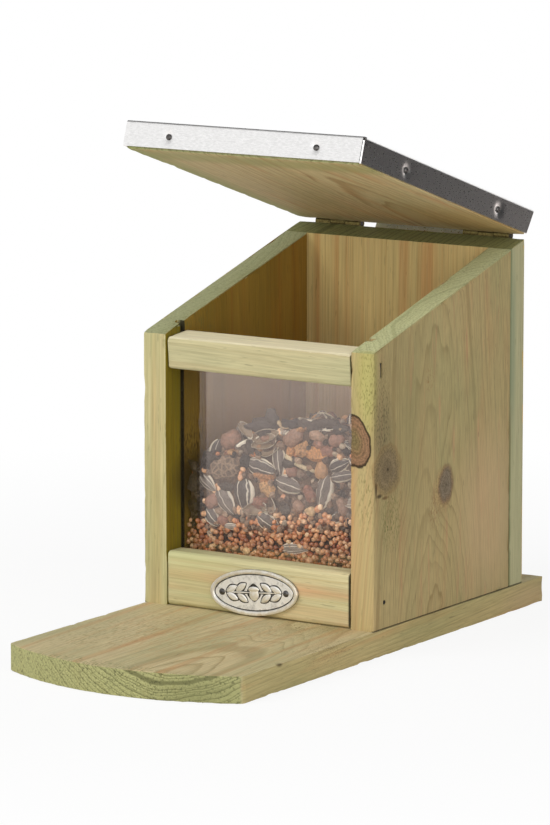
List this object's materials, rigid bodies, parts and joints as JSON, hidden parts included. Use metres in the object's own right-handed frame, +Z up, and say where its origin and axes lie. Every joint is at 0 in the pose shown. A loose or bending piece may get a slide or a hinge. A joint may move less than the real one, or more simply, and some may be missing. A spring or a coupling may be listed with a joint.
{
  "type": "squirrel feeder box",
  "caption": "Wooden squirrel feeder box with a front porch, a window, a hinged sloping lid under a folded steel sheet, and feed inside.",
  "frame": {"origin": "on the underside of the base board, in the middle of its length and width", "axes": "+X to the right for someone who faces the window, +Y from the porch to the back, +Z up"},
  "size_m": [0.123, 0.264, 0.2278],
  "materials": {
    "base_pine": "planed pine, green pressure treatment, matt",
    "side_pine": "planed pine, green pressure treatment, knots, matt",
    "back_pine": "planed pine with orange streaks, matt",
    "bar_pine": "planed pale pine, eased edges, matt",
    "lid_pine": "planed pine with reddish streaks, matt",
    "window_plastic": "clear plastic sheet, glossy",
    "galvanised_sheet": "galvanised steel sheet, satin",
    "zinc_fixings": "zinc-plated steel, satin",
    "cast_plate": "pewter-coloured cast metal, satin, dark in the recesses",
    "millet": "small red-brown grain, matt",
    "mixed_seed": "striped sunflower seeds, corn, nuts and husks, matt"
  },
  "bodies": {
    "box": {"base_board": "base_pine", "left_side": "side_pine", "right_side": "side_pine", "back_panel": "back_pine", "front_sill": "bar_pine", "top_rail": "bar_pine", "window_pane": "window_plastic", "base_screw_1": "zinc_fixings", "base_screw_2": "zinc_fixings", "base_screw_3": "zinc_fixings", "base_screw_4": "zinc_fixings", "base_screw_5": "zinc_fixings", "base_screw_6": "zinc_fixings", "back_brad_1": "zinc_fixings", "back_brad_2": "zinc_fixings", "back_brad_3": "zinc_fixings", "back_brad_4": "zinc_fixings", "back_brad_5": "zinc_fixings", "back_brad_6": "zinc_fixings", "sill_brad_1": "zinc_fixings", "sill_brad_2": "zinc_fixings", "rail_staple_1": "zinc_fixings", "rail_staple_2": "zinc_fixings", "name_plate": "cast_plate", "plate_pin_1": "cast_plate", "plate_pin_2": "cast_plate", "millet_bed": "millet", "seed_heap": "mixed_seed", "left_panel_leaf": "zinc_fixings", "right_panel_leaf": "zinc_fixings", "left_hinge_pin": "zinc_fixings", "right_hinge_pin": "zinc_fixings", "panel_leaf_screw_1": "zinc_fixings", "panel_leaf_screw_2": "zinc_fixings", "panel_leaf_screw_3": "zinc_fixings", "panel_leaf_screw_4": "zinc_fixings"},
    "lid": {"lid_board": "lid_pine", "roof_sheet": "galvanised_sheet", "roof_nail_1": "zinc_fixings", "roof_nail_2": "zinc_fixings", "roof_nail_3": "zinc_fixings", "roof_nail_4": "zinc_fixings", "roof_nail_5": "zinc_fixings", "roof_nail_6": "zinc_fixings", "left_lid_leaf": "zinc_fixings", "right_lid_leaf": "zinc_fixings", "lid_leaf_screw_1": "zinc_fixings", "lid_leaf_screw_2": "zinc_fixings", "lid_leaf_screw_3": "zinc_fixings", "lid_leaf_screw_4": "zinc_fixings"}
  },
  "joints": [
    {"name": "lid_hinge", "type": "hinge", "parent": "box", "child": "lid", "pos_m": [0, 0.11575, 0.1696], "axis": [-1, 0, 0], "range_deg": [-33.5, 165]}
  ]
}
